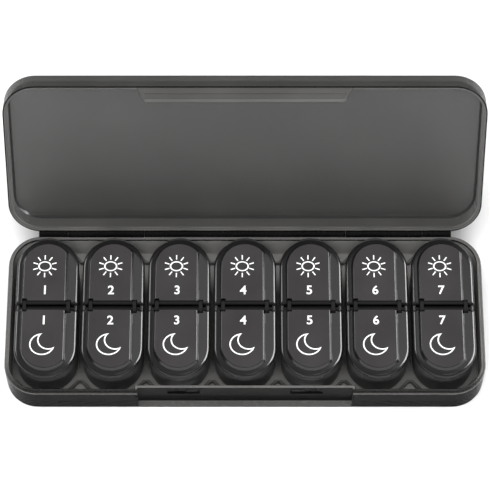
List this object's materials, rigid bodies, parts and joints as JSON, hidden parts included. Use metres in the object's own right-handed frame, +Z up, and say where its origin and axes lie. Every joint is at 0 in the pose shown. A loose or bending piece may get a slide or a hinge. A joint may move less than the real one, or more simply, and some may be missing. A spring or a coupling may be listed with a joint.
{
  "type": "weekly pill box",
  "caption": "Hinged smoked plastic case with a snap latch, holding a row of lift-out day boxes, each split into two compartments with flip lids.",
  "frame": {"origin": "centre of the tray's flat underside", "axes": "+Z up, +X along the case to the right as seen from the latch, +Y to the hinge at the back"},
  "size_m": [0.21, 0.1232, 0.0868],
  "materials": {
    "tray": "dark smoked clear plastic, polished",
    "case_lid": "smoked clear plastic, polished",
    "day_box": "black plastic, polished",
    "flip_lid": "black plastic, satin on the raised panel and polished on its bevels",
    "pin": "drawn wire"
  },
  "bodies": {
    "tray": {"tray": "tray", "case_hinge_pin": "pin"},
    "case_lid": {"case_lid": "case_lid"},
    "day_box_1": {"day_box_1": "day_box"},
    "sun_lid_1": {"sun_lid_1": "flip_lid"},
    "moon_lid_1": {"moon_lid_1": "flip_lid"},
    "day_box_2": {"day_box_2": "day_box"},
    "sun_lid_2": {"sun_lid_2": "flip_lid"},
    "moon_lid_2": {"moon_lid_2": "flip_lid"},
    "day_box_3": {"day_box_3": "day_box"},
    "sun_lid_3": {"sun_lid_3": "flip_lid"},
    "moon_lid_3": {"moon_lid_3": "flip_lid"},
    "day_box_4": {"day_box_4": "day_box"},
    "sun_lid_4": {"sun_lid_4": "flip_lid"},
    "moon_lid_4": {"moon_lid_4": "flip_lid"},
    "day_box_5": {"day_box_5": "day_box"},
    "sun_lid_5": {"sun_lid_5": "flip_lid"},
    "moon_lid_5": {"moon_lid_5": "flip_lid"},
    "day_box_6": {"day_box_6": "day_box"},
    "sun_lid_6": {"sun_lid_6": "flip_lid"},
    "moon_lid_6": {"moon_lid_6": "flip_lid"},
    "day_box_7": {"day_box_7": "day_box"},
    "sun_lid_7": {"sun_lid_7": "flip_lid"},
    "moon_lid_7": {"moon_lid_7": "flip_lid"}
  },
  "joints": [
    {"name": "case_lid_hinge", "type": "hinge", "parent": "tray", "child": "case_lid", "pos_m": [0, 0.0392, 0.0152], "axis": [-1, 0, 0], "range_deg": [-119, 0]},
    {"name": "day_box_1_lift", "type": "slide", "parent": "tray", "child": "day_box_1", "axis": [0, 0, 1], "range_m": [0, 0.04]},
    {"name": "sun_lid_1_hinge", "type": "hinge", "parent": "day_box_1", "child": "sun_lid_1", "pos_m": [-0.087, 0.0023, 0.0219], "axis": [1, 0, 0], "range_deg": [0, 88]},
    {"name": "moon_lid_1_hinge", "type": "hinge", "parent": "day_box_1", "child": "moon_lid_1", "pos_m": [-0.087, -0.0007, 0.0219], "axis": [-1, 0, 0], "range_deg": [0, 88]},
    {"name": "day_box_2_lift", "type": "slide", "parent": "tray", "child": "day_box_2", "axis": [0, 0, 1], "range_m": [0, 0.04]},
    {"name": "sun_lid_2_hinge", "type": "hinge", "parent": "day_box_2", "child": "sun_lid_2", "pos_m": [-0.058, 0.0023, 0.0219], "axis": [1, 0, 0], "range_deg": [0, 88]},
    {"name": "moon_lid_2_hinge", "type": "hinge", "parent": "day_box_2", "child": "moon_lid_2", "pos_m": [-0.058, -0.0007, 0.0219], "axis": [-1, 0, 0], "range_deg": [0, 88]},
    {"name": "day_box_3_lift", "type": "slide", "parent": "tray", "child": "day_box_3", "axis": [0, 0, 1], "range_m": [0, 0.04]},
    {"name": "sun_lid_3_hinge", "type": "hinge", "parent": "day_box_3", "child": "sun_lid_3", "pos_m": [-0.029, 0.0023, 0.0219], "axis": [1, 0, 0], "range_deg": [0, 88]},
    {"name": "moon_lid_3_hinge", "type": "hinge", "parent": "day_box_3", "child": "moon_lid_3", "pos_m": [-0.029, -0.0007, 0.0219], "axis": [-1, 0, 0], "range_deg": [0, 88]},
    {"name": "day_box_4_lift", "type": "slide", "parent": "tray", "child": "day_box_4", "axis": [0, 0, 1], "range_m": [0, 0.04]},
    {"name": "sun_lid_4_hinge", "type": "hinge", "parent": "day_box_4", "child": "sun_lid_4", "pos_m": [0, 0.0023, 0.0219], "axis": [1, 0, 0], "range_deg": [0, 88]},
    {"name": "moon_lid_4_hinge", "type": "hinge", "parent": "day_box_4", "child": "moon_lid_4", "pos_m": [0, -0.0007, 0.0219], "axis": [-1, 0, 0], "range_deg": [0, 88]},
    {"name": "day_box_5_lift", "type": "slide", "parent": "tray", "child": "day_box_5", "axis": [0, 0, 1], "range_m": [0, 0.04]},
    {"name": "sun_lid_5_hinge", "type": "hinge", "parent": "day_box_5", "child": "sun_lid_5", "pos_m": [0.029, 0.0023, 0.0219], "axis": [1, 0, 0], "range_deg": [0, 88]},
    {"name": "moon_lid_5_hinge", "type": "hinge", "parent": "day_box_5", "child": "moon_lid_5", "pos_m": [0.029, -0.0007, 0.0219], "axis": [-1, 0, 0], "range_deg": [0, 88]},
    {"name": "day_box_6_lift", "type": "slide", "parent": "tray", "child": "day_box_6", "axis": [0, 0, 1], "range_m": [0, 0.04]},
    {"name": "sun_lid_6_hinge", "type": "hinge", "parent": "day_box_6", "child": "sun_lid_6", "pos_m": [0.058, 0.0023, 0.0219], "axis": [1, 0, 0], "range_deg": [0, 88]},
    {"name": "moon_lid_6_hinge", "type": "hinge", "parent": "day_box_6", "child": "moon_lid_6", "pos_m": [0.058, -0.0007, 0.0219], "axis": [-1, 0, 0], "range_deg": [0, 88]},
    {"name": "day_box_7_lift", "type": "slide", "parent": "tray", "child": "day_box_7", "axis": [0, 0, 1], "range_m": [0, 0.04]},
    {"name": "sun_lid_7_hinge", "type": "hinge", "parent": "day_box_7", "child": "sun_lid_7", "pos_m": [0.087, 0.0023, 0.0219], "axis": [1, 0, 0], "range_deg": [0, 88]},
    {"name": "moon_lid_7_hinge", "type": "hinge", "parent": "day_box_7", "child": "moon_lid_7", "pos_m": [0.087, -0.0007, 0.0219], "axis": [-1, 0, 0], "range_deg": [0, 88]}
  ]
}
